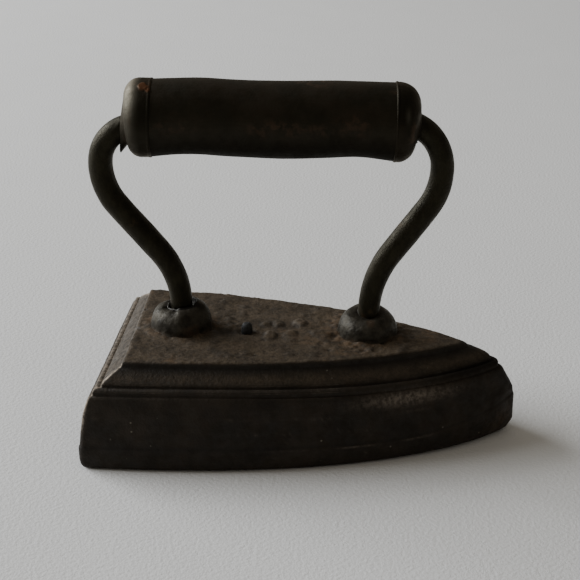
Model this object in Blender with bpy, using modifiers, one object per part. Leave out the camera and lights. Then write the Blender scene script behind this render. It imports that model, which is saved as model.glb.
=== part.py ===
"""A sad iron: a solid cast body with a moulded shoulder, a bent wrought rod set in it by two poured collars,
and a hollow sheet-metal grip closed by two pressed caps.

Metres, +Z up, +X towards the toe. The sole lies on z = 0, and the origin is under the middle of the length.
"""

from math import asin, atan2, cos, hypot, pi, radians, sin, sqrt, tan

import bmesh
import bpy
from mathutils import Vector

COLLECTION = "sad_iron"
FIT_GAP = 0.0003
MERGE = 0.00001

# Body casting
HEEL_X = -0.0794
TOE_X = 0.0823
BODY_WIDTH = 0.0988
PLATEAU_Z = 0.0371
OUTLINE_POWER = 2.27
OUTLINE_EXPONENT = 0.76
HEEL_CORNER_RADIUS = 0.0026
TOE_RADIUS = 0.0040
PLATEAU_TOE_RADIUS = 0.0020
TOE_STEPS = 8
HEEL_STEPS = 4
CORNER_STEPS = 5
SIDE_STEPS = 28

# The body's edge from the sole up: how far in from the widest outline and how high it is along the sides,
# then how much higher and how much further back it is at the toe.
BODY_EDGE = (
    (0.0030, 0.0000, 0.0000, -0.0011),
    (0.0012, 0.0005, 0.0030, -0.0012),
    (0.0002, 0.0030, 0.0030, -0.0003),
    (0.0000, 0.0055, 0.0045, 0.0000),
    (0.0004, 0.0088, 0.0075, -0.0002),
    (0.0010, 0.0145, 0.0046, 0.0001),
    (0.0018, 0.0200, 0.0018, 0.0007),
    (0.0031, 0.0250, 0.0000, 0.0013),
    (0.0043, 0.0279, 0.0000, 0.0018),
    (0.0057, 0.0291, 0.0000, 0.0008),
    (0.0072, 0.0298, 0.0000, -0.0004),
    (0.0081, 0.0309, 0.0000, -0.0002),
    (0.0112, 0.0336, 0.0000, -0.0006),
    (0.0145, 0.0355, 0.0000, -0.0012),
    (0.0154, 0.0371, 0.0000, 0.0018),
)
TOE_POWER = 8
# The mouldings run a little high behind the middle and a little low in front of it.
SIDE_SWAY = 0.0009
# The heel is a little out of square below the plateau: how far its two ends are set towards the toe.
HEEL_NEAR_SHIFT = -0.0005
HEEL_FAR_SHIFT = 0.0014
SQUARE_FROM_Z = 0.0350
SKEWED_BELOW_Z = 0.0290
HEEL_POWER = 5

# Handle: it stands in a plane of its own, turned a little off the body's middle line about the rear foot.
# Its sizes below are in that plane, with x = 0 at the rear foot and z up from the sole.
REAR_FOOT = (-0.0474, -0.0004)
HANDLE_YAW = radians(2.96)

# Handle rod
FRONT_FOOT_X = 0.0718
REAR_BEND_X = -0.0297
FRONT_BEND_X = 0.0962
ROD_RADIUS = 0.00435
ROD_FOOT_RADIUS = 0.0041
LEG_SWELL = 0.0003
BEND_STEP = radians(7.5)
ROD_SIDES_RESOLUTION = 6
# Corners of the rod's centre line before bending, and the radius of each bend.
ROD_CORNERS = (
    (0.0, 0.0591, 0.0341),
    (REAR_BEND_X, 0.0931, 0.0252),
    (REAR_BEND_X, 0.1166, 0.0144),
    (FRONT_BEND_X, 0.1224, 0.0180),
    (FRONT_BEND_X, 0.0945, 0.0272),
    (FRONT_FOOT_X, 0.0595, 0.0423),
)
LEG_LOW_Z = 0.048
LEG_HIGH_Z = 0.100

# Sockets and foot collars
SOCKET_DEPTH = 0.020
SOCKET_MOUTH_RADIUS = 0.0085
SOCKET_BOTTOM_RADIUS = 0.0100
UPSET_RADIUS = 0.0056
UPSET_LENGTH = 0.0045
UPSET_TAPER = 0.0040
COLLAR_RADIUS = 0.0114
# The collar's dome above the plateau, from its rim out to its base: radius and height.
COLLAR_DOME = (
    (0.0056, 0.0097),
    (0.0066, 0.0093),
    (0.0080, 0.0083),
    (0.0095, 0.0066),
    (0.0106, 0.0044),
    (0.0113, 0.0020),
    (COLLAR_RADIUS, 0.0006),
)
COLLAR_SEGMENTS = 32

# Grip
GRIP_REAR_SEAM = Vector((-0.0113, 0.0, 0.1203))
GRIP_FRONT_SEAM = Vector((0.0785, 0.0, 0.1213))
GRIP_RADIUS = 0.0137
SHEET = 0.0006
LAP_ANGLE = radians(34)
LAP_EDGE_ANGLE = radians(-104)
LAP_JOGGLE_ANGLE = radians(10)
SLEEVE_STEP = radians(7.5)
REAR_CAP_LENGTH = 0.0094
FRONT_CAP_LENGTH = 0.0086
CAP_CORNER_RADIUS = 0.0048
CAP_DOME = 0.0006
CAP_WALL = 0.0009
SPIGOT_LENGTH = 0.0060
CAP_SEGMENTS = 48
NECK_INNER_RADIUS = 0.0075
NECK_LIP_RADIUS = 0.0054
NECK_DEPTH = 0.0015
NECK_HEIGHT = 0.0010

# Top plug
PLUG_X = -0.0221
PLUG_Y = -0.0020
PLUG_HEAD_RADIUS = 0.0019
PLUG_SHANK_RADIUS = 0.0014
PLUG_HEAD_HEIGHT = 0.0026
PLUG_LENGTH = 0.0060

GRIP_TILT = atan2(GRIP_FRONT_SEAM.z - GRIP_REAR_SEAM.z, GRIP_FRONT_SEAM.x - GRIP_REAR_SEAM.x)
SOCKET_FLOOR_Z = PLATEAU_Z - SOCKET_DEPTH
FOOT_Z = SOCKET_FLOOR_Z + FIT_GAP


def clear_scene():
    for old in list(bpy.data.objects):
        bpy.data.objects.remove(old, do_unlink=True)


def new_collection(name):
    made = bpy.data.collections.new(name)
    bpy.context.scene.collection.children.link(made)
    return made


def material(name, colour, roughness, metallic):
    made = bpy.data.materials.new(name)
    made.use_nodes = True
    shader = made.node_tree.nodes["Principled BSDF"]
    shader.inputs["Base Color"].default_value = (*colour, 1.0)
    shader.inputs["Roughness"].default_value = roughness
    shader.inputs["Metallic"].default_value = metallic
    return made


def link_mesh(name, mesh, collection):
    made = bpy.data.objects.new(name, mesh)
    collection.objects.link(made)
    return made


def finish_part(part, surface, sharp_angle=radians(35)):
    part.data.materials.clear()
    part.data.materials.append(surface)
    part.data.shade_smooth()
    part.data.set_sharp_from_angle(angle=sharp_angle)
    return part


def hide_cutter(cutter):
    cutter.hide_render = True
    cutter.display_type = "WIRE"
    return cutter


def cut(part, cutter, operation="DIFFERENCE"):
    boolean = part.modifiers.new(operation.lower() + "_" + cutter.name, "BOOLEAN")
    boolean.operation = operation
    boolean.solver = "EXACT"
    boolean.object = cutter


def turned(name, profile, collection, segments, closed):
    """A turned solid about Z. The profile of (radius, height) runs down the outer side."""
    mesh = bpy.data.meshes.new(name)
    points = [(radius, 0.0, height) for radius, height in profile]
    edges = [(i, i + 1) for i in range(len(points) - 1)]
    if closed:
        edges.append((len(points) - 1, 0))
    mesh.from_pydata(points, edges, [])
    made = link_mesh(name, mesh, collection)
    screw = made.modifiers.new("turn", "SCREW")
    screw.steps = segments
    screw.render_steps = segments
    screw.use_merge_vertices = True
    screw.merge_threshold = MERGE
    return made


def tube(name, points, radii, collection):
    """A solid bar along the points, with a radius at each, converted to a welded mesh."""
    curve = bpy.data.curves.new(name, "CURVE")
    curve.dimensions = "3D"
    curve.bevel_depth = 1.0
    curve.bevel_resolution = ROD_SIDES_RESOLUTION
    curve.use_fill_caps = True
    spline = curve.splines.new("POLY")
    spline.points.add(len(points) - 1)
    for spot, point, radius in zip(spline.points, points, radii):
        spot.co = (point[0], 0.0, point[1], 1.0)
        spot.radius = radius
    bar = link_mesh(name + "_curve", curve, collection)
    graph = bpy.context.evaluated_depsgraph_get()
    mesh = bpy.data.meshes.new_from_object(bar.evaluated_get(graph))
    welded = bmesh.new()
    welded.from_mesh(mesh)
    bmesh.ops.remove_doubles(welded, verts=welded.verts, dist=MERGE)
    bmesh.ops.recalc_face_normals(welded, faces=welded.faces)
    welded.to_mesh(mesh)
    welded.free()
    mesh.name = name
    made = link_mesh(name, mesh, collection)
    made.matrix_world = bar.matrix_world
    bpy.data.objects.remove(bar, do_unlink=True)
    return made


def side_half_width(station):
    return BODY_WIDTH / 2 * (1 - station**OUTLINE_POWER) ** OUTLINE_EXPONENT


def inset_side(inset, count=400):
    """One side of the outline moved in by the inset, from the heel to the middle of the rounded toe."""
    length = TOE_X - HEEL_X
    depth = inset / BODY_EDGE[-1][0]
    toe_radius = TOE_RADIUS + (PLATEAU_TOE_RADIUS - TOE_RADIUS) * depth
    points = []
    for i in range(count):
        station = 1 - (1 - i / count) ** 1.7
        slope = (side_half_width(station + 1e-6) - side_half_width(station)) / 1e-6 / length
        lean = sqrt(1 + slope * slope)
        x = HEEL_X + station * length + inset * slope / lean
        y = side_half_width(station) - inset / lean
        if y * lean < toe_radius:
            break
        points.append((x, y))
    x, y = points[-1]
    toe_angle = asin(min(y / toe_radius, 1.0))
    centre_x = x - toe_radius * cos(toe_angle)
    for i in range(1, TOE_STEPS + 1):
        angle = toe_angle * (1 - i / TOE_STEPS)
        points.append((centre_x + toe_radius * cos(angle), toe_radius * sin(angle)))
    return points


def resampled(points, fractions):
    """Points at these fractions of the line's length."""
    lengths = [0.0]
    for (x0, y0), (x1, y1) in zip(points, points[1:]):
        lengths.append(lengths[-1] + hypot(x1 - x0, y1 - y0))
    found = []
    k = 0
    for fraction in fractions:
        target = fraction * lengths[-1]
        while k < len(points) - 2 and lengths[k + 1] < target:
            k += 1
        part = (target - lengths[k]) / (lengths[k + 1] - lengths[k])
        (x0, y0), (x1, y1) = points[k], points[k + 1]
        found.append((x0 + (x1 - x0) * part, y0 + (y1 - y0) * part))
    return found


def half_outline(inset):
    """Half of the body's outline, moved in by the inset: heel middle, heel corner, side, toe."""
    radius = HEEL_CORNER_RADIUS
    heel = HEEL_X + inset
    side = [point for point in inset_side(inset) if point[0] > heel + radius]
    corner_x = heel + radius
    corner_y = side[0][1] - radius
    outline = [(heel, corner_y * i / HEEL_STEPS) for i in range(HEEL_STEPS)]
    for i in range(CORNER_STEPS):
        angle = pi - pi / 2 * i / CORNER_STEPS
        outline.append((corner_x + radius * cos(angle), corner_y + radius * sin(angle)))
    side.insert(0, (corner_x, corner_y + radius))
    fractions = [1 - (1 - i / SIDE_STEPS) ** 1.4 for i in range(SIDE_STEPS + 1)]
    return outline + resampled(side, fractions)


def body_ring(inset, height, toe_rise, toe_back):
    half = half_outline(inset)
    ring = half + [(x, -y) for x, y in reversed(half[1:-1])]
    level = height / PLATEAU_Z
    sway = SIDE_SWAY * 4 * level * (1 - level)
    skew = min(max((SQUARE_FROM_Z - height) / (SQUARE_FROM_Z - SKEWED_BELOW_Z), 0.0), 1.0)
    placed = []
    for x, y in ring:
        station = (x - HEEL_X) / (TOE_X - HEEL_X)
        toe = station**TOE_POWER
        rise = toe_rise * toe + sway * sin(2 * pi * station)
        shift = HEEL_NEAR_SHIFT + (HEEL_FAR_SHIFT - HEEL_NEAR_SHIFT) * (y / BODY_WIDTH + 0.5)
        heel = skew * max(1 - station, 0.0) ** HEEL_POWER
        placed.append((x - toe_back * toe + shift * heel, y, height + rise))
    return placed


def body_casting(collection):
    """A loft through the outlines of the moulded edge, closed by the flat sole and the plateau."""
    shape = bmesh.new()
    rings = [[shape.verts.new(point) for point in body_ring(*level)] for level in BODY_EDGE]
    count = len(rings[0])
    for low, high in zip(rings, rings[1:]):
        for i in range(count):
            j = (i + 1) % count
            shape.faces.new((low[i], low[j], high[j], high[i]))
    shape.faces.new(rings[0])
    shape.faces.new(rings[-1])
    bmesh.ops.recalc_face_normals(shape, faces=shape.faces)
    mesh = bpy.data.meshes.new("body_casting")
    shape.to_mesh(mesh)
    shape.free()
    return link_mesh("body_casting", mesh, collection)


def handle_plane(collection):
    """An empty on the rear foot's axis that turns all of the handle about it."""
    made = bpy.data.objects.new("handle_plane", None)
    collection.objects.link(made)
    made.location = (*REAR_FOOT, 0.0)
    made.rotation_euler.z = HANDLE_YAW
    return made


def socket_cutter(name, x, cutters):
    above = 0.004
    profile = (
        (0.0, PLATEAU_Z + above),
        (SOCKET_MOUTH_RADIUS, PLATEAU_Z + above),
        (SOCKET_MOUTH_RADIUS, PLATEAU_Z - 0.004),
        (SOCKET_BOTTOM_RADIUS, PLATEAU_Z - 0.010),
        (SOCKET_BOTTOM_RADIUS, SOCKET_FLOOR_Z),
        (0.0, SOCKET_FLOOR_Z),
    )
    made = turned(name, profile, cutters, COLLAR_SEGMENTS, closed=False)
    made.location.x = x
    return hide_cutter(made)


def plug_cutter(cutters):
    above = 0.002
    floor = PLATEAU_Z - PLUG_LENGTH - FIT_GAP
    radius = PLUG_SHANK_RADIUS + FIT_GAP
    profile = ((0.0, PLATEAU_Z + above), (radius, PLATEAU_Z + above), (radius, floor), (0.0, floor))
    made = turned("plug_hole", profile, cutters, 16, closed=False)
    made.location = (PLUG_X, PLUG_Y, 0.0)
    return hide_cutter(made)


def foot_collar(name, x, collection):
    """A poured collar: a dome on the plateau and a plug that fills the socket round the rod's foot."""
    bore = ROD_FOOT_RADIUS + FIT_GAP
    upset_bore = UPSET_RADIUS + FIT_GAP
    plug_mouth = SOCKET_MOUTH_RADIUS - FIT_GAP
    plug_bottom = SOCKET_BOTTOM_RADIUS - FIT_GAP
    base = PLATEAU_Z + FIT_GAP
    profile = [(bore, PLATEAU_Z + COLLAR_DOME[0][1] - 0.0004)]
    profile += [(radius, PLATEAU_Z + height) for radius, height in COLLAR_DOME]
    profile += [
        (COLLAR_RADIUS, base),
        (plug_mouth, base),
        (plug_mouth, PLATEAU_Z - 0.0042),
        (plug_bottom, PLATEAU_Z - 0.0102),
        (plug_bottom, FOOT_Z),
        (upset_bore, FOOT_Z),
        (upset_bore, FOOT_Z + UPSET_LENGTH),
        (bore, FOOT_Z + UPSET_LENGTH + UPSET_TAPER),
    ]
    made = turned(name, profile, collection, COLLAR_SEGMENTS, closed=True)
    made.location.x = x
    return made


def bend(before, corner, after, radius):
    """Points of the arc that rounds a corner of the rod's centre line."""
    into = (Vector(corner) - Vector(before)).normalized()
    out = (Vector(after) - Vector(corner)).normalized()
    turn = into.angle(out)
    side = 1 if into.x * out.y - into.y * out.x > 0 else -1
    start = Vector(corner) - into * radius * tan(turn / 2)
    centre = start + Vector((-into.y, into.x)) * side * radius
    first = atan2(start.y - centre.y, start.x - centre.x)
    steps = max(2, round(turn / BEND_STEP))
    angles = [first + side * turn * i / steps for i in range(steps + 1)]
    return [(centre.x + radius * cos(angle), centre.y + radius * sin(angle)) for angle in angles]


def rod_path():
    """The rod's centre line in the handle's plane, as (x, z) points from the rear foot to the front foot."""
    rear_foot = (0.0, FOOT_Z)
    front_foot = (FRONT_FOOT_X, FOOT_Z)
    corners = [rear_foot, *[corner[:2] for corner in ROD_CORNERS], front_foot]
    points = []
    for i, (_, _, radius) in enumerate(ROD_CORNERS):
        points += bend(corners[i], corners[i + 1], corners[i + 2], radius)
    foot_rise = [0.0, UPSET_LENGTH, UPSET_LENGTH + UPSET_TAPER]
    rear = [(0.0, FOOT_Z + rise) for rise in foot_rise]
    front = [(FRONT_FOOT_X, FOOT_Z + rise) for rise in reversed(foot_rise)]
    return rear + points + front


def rod_radius(z):
    """The foot is upset in its socket, and each leg is a little thicker midway."""
    rise = z - FOOT_Z
    if rise <= UPSET_LENGTH:
        return UPSET_RADIUS
    if z < LEG_LOW_Z:
        return ROD_FOOT_RADIUS
    way = min((z - LEG_LOW_Z) / (LEG_HIGH_Z - LEG_LOW_Z), 1.0)
    return ROD_RADIUS + LEG_SWELL * sin(pi * way) - (ROD_RADIUS - ROD_FOOT_RADIUS) * (1 - way) ** 4


def handle_rod(name, collection, extra=0.0):
    path = rod_path()
    return tube(name, path, [rod_radius(z) + extra for _, z in path], collection)


def grip_sleeve(collection):
    """A rolled sheet, lapped under the grip: the inner edge is joggled in by its own thickness."""
    length = (GRIP_FRONT_SEAM - GRIP_REAR_SEAM).length
    dip = SHEET + FIT_GAP
    shape = bmesh.new()
    steps = round((2 * pi + LAP_ANGLE) / SLEEVE_STEP)
    line = []
    for i in range(steps + 1):
        turn = (2 * pi + LAP_ANGLE) * i / steps
        past = (LAP_ANGLE + LAP_JOGGLE_ANGLE - turn) / LAP_JOGGLE_ANGLE
        radius = GRIP_RADIUS - dip * min(max(past, 0.0), 1.0)
        angle = LAP_EDGE_ANGLE - LAP_ANGLE + turn
        line.append(shape.verts.new((-radius * sin(angle), radius * cos(angle), 0.0)))
    edges = [shape.edges.new(pair) for pair in zip(line, line[1:])]
    swept = bmesh.ops.extrude_edge_only(shape, edges=edges)["geom"]
    far = [item for item in swept if isinstance(item, bmesh.types.BMVert)]
    bmesh.ops.translate(shape, verts=far, vec=(0.0, 0.0, length))
    bmesh.ops.recalc_face_normals(shape, faces=shape.faces)
    mesh = bpy.data.meshes.new("grip_sleeve")
    shape.to_mesh(mesh)
    shape.free()
    made = link_mesh("grip_sleeve", mesh, collection)
    made.location = GRIP_REAR_SEAM
    made.rotation_euler.y = pi / 2 - GRIP_TILT
    wall = made.modifiers.new("sheet", "SOLIDIFY")
    wall.thickness = SHEET
    wall.offset = -1.0
    return made


def cap_profile(length):
    """A pressed cap along +Z from the seam: domed end, rounded corner, rim and a spigot inside the sleeve."""
    rim = FIT_GAP
    spigot_outer = GRIP_RADIUS - 2 * SHEET - 2 * FIT_GAP
    spigot_inner = spigot_outer - CAP_WALL
    inner_radius = GRIP_RADIUS - CAP_WALL
    corner_z = length - CAP_CORNER_RADIUS
    flat = GRIP_RADIUS - CAP_CORNER_RADIUS
    profile = [(0.0, length + CAP_DOME)]
    for i in range(7):
        angle = pi / 2 * (1 - i / 6)
        profile.append((flat + CAP_CORNER_RADIUS * cos(angle), corner_z + CAP_CORNER_RADIUS * sin(angle)))
    profile += [
        (GRIP_RADIUS, rim),
        (spigot_outer, rim),
        (spigot_outer, rim - SPIGOT_LENGTH),
        (spigot_inner, rim - SPIGOT_LENGTH),
        (spigot_inner, rim + CAP_WALL),
        (inner_radius, rim + CAP_WALL + 0.001),
    ]
    inner_corner = CAP_CORNER_RADIUS - CAP_WALL
    for i in range(5):
        angle = pi / 2 * i / 4
        profile.append((flat + inner_corner * cos(angle), corner_z + inner_corner * sin(angle)))
    profile.append((0.0, length + CAP_DOME - CAP_WALL))
    return profile


def cap_neck(name, face_x, outward, cutters):
    """A short taper along the rod where it enters the cap, from inside the cap's face to the lip outside."""
    inner = face_x - outward * NECK_DEPTH
    outer = face_x + outward * NECK_HEIGHT
    path = [point for point in rod_path() if point[1] > LEG_HIGH_Z]
    ends = []
    for x in (inner, (inner + outer) / 2, outer):
        near = min(range(len(path) - 1), key=lambda i: abs((path[i][0] + path[i + 1][0]) / 2 - x))
        (x0, z0), (x1, z1) = path[near], path[near + 1]
        ends.append((x, z0 + (z1 - z0) * (x - x0) / (x1 - x0)))
    middle_radius = (NECK_INNER_RADIUS + 2 * NECK_LIP_RADIUS) / 3
    return hide_cutter(tube(name, ends, (NECK_INNER_RADIUS, middle_radius, NECK_LIP_RADIUS), cutters))


def grip_cap(name, seam, length, outward, collection):
    made = turned(name, cap_profile(length), collection, CAP_SEGMENTS, closed=False)
    made.location = seam
    made.rotation_euler.y = outward * pi / 2 - GRIP_TILT
    return made


def top_plug(collection):
    """A small round-headed plug driven into the plateau."""
    profile = [(0.0, PLATEAU_Z + PLUG_HEAD_HEIGHT)]
    for i in range(1, 5):
        angle = pi / 2 * i / 4
        height = FIT_GAP + (PLUG_HEAD_HEIGHT - FIT_GAP) * cos(angle)
        profile.append((PLUG_HEAD_RADIUS * sin(angle), PLATEAU_Z + height))
    profile.append((PLUG_SHANK_RADIUS, PLATEAU_Z + FIT_GAP))
    profile.append((PLUG_SHANK_RADIUS, PLATEAU_Z - PLUG_LENGTH))
    profile.append((0.0, PLATEAU_Z - PLUG_LENGTH))
    made = turned("top_plug", profile, collection, 20, closed=False)
    made.location = (PLUG_X, PLUG_Y, 0.0)
    return made


def build():
    clear_scene()
    parts = new_collection(COLLECTION)
    cutters = new_collection("cutters")

    rusty_casting = material("rusty_cast_iron", (0.060, 0.046, 0.036), 0.72, 0.35)
    wrought = material("wrought_iron", (0.085, 0.080, 0.066), 0.50, 0.75)
    poured = material("poured_metal", (0.150, 0.160, 0.165), 0.42, 0.80)
    sheet_steel = material("blackened_sheet", (0.022, 0.016, 0.014), 0.48, 0.55)
    plug_metal = material("plug_metal", (0.130, 0.140, 0.150), 0.45, 0.75)

    body = body_casting(parts)
    rear_socket = socket_cutter("rear_socket", 0.0, cutters)
    front_socket = socket_cutter("front_socket", FRONT_FOOT_X, cutters)
    for cutter in (rear_socket, front_socket, plug_cutter(cutters)):
        cut(body, cutter)
    finish_part(body, rusty_casting, radians(50))

    rod = finish_part(handle_rod("handle_rod", parts), wrought)
    rod_cutter = hide_cutter(handle_rod("rod_clearance", cutters, FIT_GAP))
    rear_collar = finish_part(foot_collar("rear_foot_collar", 0.0, parts), poured)
    front_collar = finish_part(foot_collar("front_foot_collar", FRONT_FOOT_X, parts), poured)
    sleeve = finish_part(grip_sleeve(parts), sheet_steel)
    rear_cap = grip_cap("rear_grip_cap", GRIP_REAR_SEAM, REAR_CAP_LENGTH, -1, parts)
    front_cap = grip_cap("front_grip_cap", GRIP_FRONT_SEAM, FRONT_CAP_LENGTH, 1, parts)
    rear_neck = cap_neck("rear_neck", GRIP_REAR_SEAM.x - REAR_CAP_LENGTH, -1, cutters)
    front_neck = cap_neck("front_neck", GRIP_FRONT_SEAM.x + FRONT_CAP_LENGTH, 1, cutters)
    for cap, neck in ((rear_cap, rear_neck), (front_cap, front_neck)):
        cut(cap, neck, "UNION")
        cut(cap, rod_cutter)
        finish_part(cap, sheet_steel)

    plane = handle_plane(parts)
    pieces = [rod, rear_collar, front_collar, sleeve, rear_cap, front_cap]
    helpers = [rear_socket, front_socket, rod_cutter, rear_neck, front_neck]
    for turned_piece in pieces + helpers:
        turned_piece.parent = plane

    finish_part(top_plug(parts), plug_metal)


build()
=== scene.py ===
"""The looks of the sad iron.

A dense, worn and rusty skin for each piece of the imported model, its materials, a pale floor, soft light
from the heel's side and a camera on the iron's near side. Metres, +Z up, +X to the toe.
"""

from math import atan2, cos, hypot, pi, radians, sin

import bpy
import numpy as np
from mathutils import Matrix, Vector


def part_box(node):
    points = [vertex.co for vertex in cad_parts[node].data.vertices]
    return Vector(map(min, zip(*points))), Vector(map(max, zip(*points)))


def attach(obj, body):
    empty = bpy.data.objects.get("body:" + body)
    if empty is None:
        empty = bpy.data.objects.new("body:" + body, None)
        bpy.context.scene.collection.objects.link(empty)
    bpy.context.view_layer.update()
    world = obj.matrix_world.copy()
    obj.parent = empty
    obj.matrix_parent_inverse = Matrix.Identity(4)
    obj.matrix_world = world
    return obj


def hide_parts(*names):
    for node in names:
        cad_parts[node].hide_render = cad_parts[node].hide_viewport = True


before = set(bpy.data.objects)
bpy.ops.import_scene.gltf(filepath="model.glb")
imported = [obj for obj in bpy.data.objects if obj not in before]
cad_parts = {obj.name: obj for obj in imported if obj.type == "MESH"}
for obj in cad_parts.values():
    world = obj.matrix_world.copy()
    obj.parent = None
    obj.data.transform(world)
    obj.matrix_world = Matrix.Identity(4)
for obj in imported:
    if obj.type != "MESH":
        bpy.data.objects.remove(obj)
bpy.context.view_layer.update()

MM = 0.001

# Room behind the heel for its spread and swell
HEEL_ROOM = 0.0006

# Places taken from the frame
BODY_LOW, BODY_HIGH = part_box("body_casting")
REAR_COLLAR_LOW, REAR_COLLAR_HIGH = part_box("rear_foot_collar")
FRONT_COLLAR_LOW, FRONT_COLLAR_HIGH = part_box("front_foot_collar")
PLUG_LOW, PLUG_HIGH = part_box("top_plug")
HEEL_X = BODY_LOW.x + HEEL_ROOM
PLATEAU_Z = BODY_HIGH.z
BODY_WIDTH = BODY_HIGH.y - BODY_LOW.y
REAR_FOOT = (REAR_COLLAR_LOW + REAR_COLLAR_HIGH) / 2
FRONT_FOOT = (FRONT_COLLAR_LOW + FRONT_COLLAR_HIGH) / 2
PLUG = (PLUG_LOW + PLUG_HIGH) / 2
HANDLE_YAW = atan2(FRONT_FOOT.y - REAR_FOOT.y, FRONT_FOOT.x - REAR_FOOT.x)
HANDLE_SPAN = hypot(FRONT_FOOT.x - REAR_FOOT.x, FRONT_FOOT.y - REAR_FOOT.y)

# Body outline
BODY_LENGTH = 0.1617
TOE_X = HEEL_X + BODY_LENGTH
OUTLINE_POWER = 2.27
OUTLINE_EXPONENT = 0.76
WALL_CORNER = 0.0024
MOULDING_CORNER = 0.0007
MOULDING_INSET = 0.0045
HEEL_SLANT = 0.0024
HEEL_SPREAD = 0.0005
TOE_RADIUS = 0.0040
PLATEAU_TOE_RADIUS = 0.0020
HEEL_POWER = 5
TOE_POWER = 8
SIDE_SWAY = 0.0009
PLATEAU_FALL = 0.0012
FAR_BELLY = 0.0014
HEEL_STEPS, CORNER_STEPS, SIDE_STEPS, TOE_STEPS = 62, 12, 238, 8
# How much higher and how much further back the edge is at the toe, for each height on the sides
TOE_SHAPE = (
    (0.0000, 0.0012, -0.0011),
    (0.0005, 0.0040, -0.0012),
    (0.0030, 0.0042, -0.0003),
    (0.0055, 0.0052, 0.0000),
    (0.0088, 0.0078, 0.0002),
    (0.0145, 0.0048, -0.0002),
    (0.0200, 0.0018, 0.0000),
    (0.0250, 0.0000, 0.0003),
    (0.0279, 0.0004, 0.0008),
    (0.0291, 0.0006, 0.0002),
    (0.0298, 0.0010, -0.0010),
    (0.0320, 0.0018, -0.0026),
    (0.0345, 0.0012, -0.0034),
    (0.0360, -0.0002, -0.0018),
    (0.0371, -0.0010, 0.0014),
)
# The edge's section from the sole to the plateau: inset from the widest outline, height, and row spacing
WALL_SECTION = (
    (0.00300, 0.00000, 0.0005),
    (0.00200, 0.00015, 0.0005),
    (0.00110, 0.00060, 0.0006),
    (0.00045, 0.00170, 0.0008),
    (0.00010, 0.00340, 0.0010),
    (0.00000, 0.00550, 0.0010),
    (-0.00005, 0.00830, 0.0006),
    (0.00030, 0.00920, 0.0010),
    (0.00085, 0.01450, 0.0011),
    (0.00175, 0.02000, 0.0010),
    (0.00275, 0.02380, 0.0007),
    (0.00340, 0.02580, 0.0004),
    (0.00385, 0.02670, 0.0003),
    (0.00425, 0.02715, 0.0003),
    (0.00470, 0.02730, 0.0002),
    (0.00500, 0.02735, 0.0002),
    (0.00512, 0.02765, 0.0002),
    (0.00515, 0.02820, 0.0003),
    (0.00530, 0.02880, 0.0003),
    (0.00575, 0.02930, 0.0003),
    (0.00640, 0.02960, 0.0003),
    (0.00705, 0.02960, 0.0003),
    (0.00750, 0.02940, 0.0002),
    (0.00785, 0.02945, 0.0002),
    (0.00800, 0.02990, 0.0003),
    (0.00815, 0.03045, 0.0003),
    (0.00860, 0.03100, 0.0005),
    (0.01100, 0.03290, 0.0005),
    (0.01310, 0.03440, 0.0004),
    (0.01370, 0.03470, 0.0003),
    (0.01400, 0.03495, 0.0003),
    (0.01415, 0.03560, 0.0003),
    (0.01440, 0.03640, 0.0003),
    (0.01485, 0.03690, 0.0003),
    (0.01540, 0.03705, 0.0003),
)
DEEPEST_INSET = WALL_SECTION[-1][0]
# The ends of the line that the plateau and the sole close on
SPINE_REAR_X, SPINE_FRONT_X = HEEL_X + 0.045, HEEL_X + 0.105
PLATEAU_ROWS = 52
SOLE_ROWS = 8

# Heights on the sides: the low ledge (and where it fades out towards the heel), where the mouldings begin,
# the bead, the slope, and the cove above it
LEDGE_LEVEL = 0.0088
LEDGE_FADE_X = (0.012, -0.016)
MOULDINGS_BEGIN = (0.0262, 0.0275)
BEAD_LEVEL = 0.0295
SLOPE_LEVEL = 0.0322
COVE_LEVEL = 0.0351

# The rubbed spot high on the near wall: middle x and z, half sizes x and z
RUBBED = (0.0400, 0.0240, 0.0150, 0.0022)
# Rows of lumps of the worn ornament: y, first x, spacing, number, and half length and half depth of a lump
ORNAMENT_ROWS = (
    (PLUG.y + 0.0088, PLUG.x + 0.0062, 0.0064, 3, 0.0034, 0.0044),
    (PLUG.y - 0.0014, PLUG.x + 0.0080, 0.0098, 3, 0.0046, 0.0058),
)
ORNAMENT_RISE = 1.60 * MM
WELD_RISE = 0.45 * MM
ROUGH_RISE = 0.40 * MM
TROUGH_DEPTH = 0.90 * MM
PLUG_GROOVE_DEPTH = 0.40 * MM
PIT_DEPTH = 0.16 * MM
# Casting flaws on the plateau's rear edge and top: x, y, size and depth
DENTS = (
    (HEEL_X + 0.0155, 0.0145, 0.0010, 0.0007),
    (HEEL_X + 0.0152, -0.0040, 0.0011, 0.0007),
    (HEEL_X + 0.0240, 0.0270, 0.0012, 0.0004),
    (HEEL_X + 0.0620, -0.0230, 0.0016, 0.0004),
    (HEEL_X + 0.0890, -0.0150, 0.0013, 0.0004),
    (HEEL_X + 0.1010, 0.0120, 0.0012, 0.0003),
)

# Handle, in its own plane: x from the rear foot towards the front foot, z up from the sole
# The rod's radii at these heights
ROD_HEIGHTS = (0.040, 0.055, 0.075, 0.095, 0.110)
ROD_RADII = (0.00410, 0.00435, 0.00465, 0.00455, 0.00445)
REAR_BEND_X = -0.0297
FRONT_BEND_X = 0.0962
# Corners of the rod's middle line: x, z and bend radius
ROD_CORNERS = (
    (0.0, 0.0591, 0.0341),
    (REAR_BEND_X, 0.0931, 0.0252),
    (REAR_BEND_X, 0.1166, 0.0144),
    (FRONT_BEND_X, 0.1224, 0.0180),
    (FRONT_BEND_X, 0.0945, 0.0272),
    (HANDLE_SPAN, 0.0595, 0.0423),
)
ROD_FOOT_DEPTH = 0.004
ROD_SIDES = 56
ROD_STEP = 0.0006
BEND_STEPS = 24
SMOOTHING_ROUNDS = 6
# Middles of the grip's two ends: x and z
GRIP_REAR = (-0.0101, 0.1203)
GRIP_FRONT = (0.0775, 0.1213)
GRIP_RADIUS = 0.0140
GRIP_SIDES = 180

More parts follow.
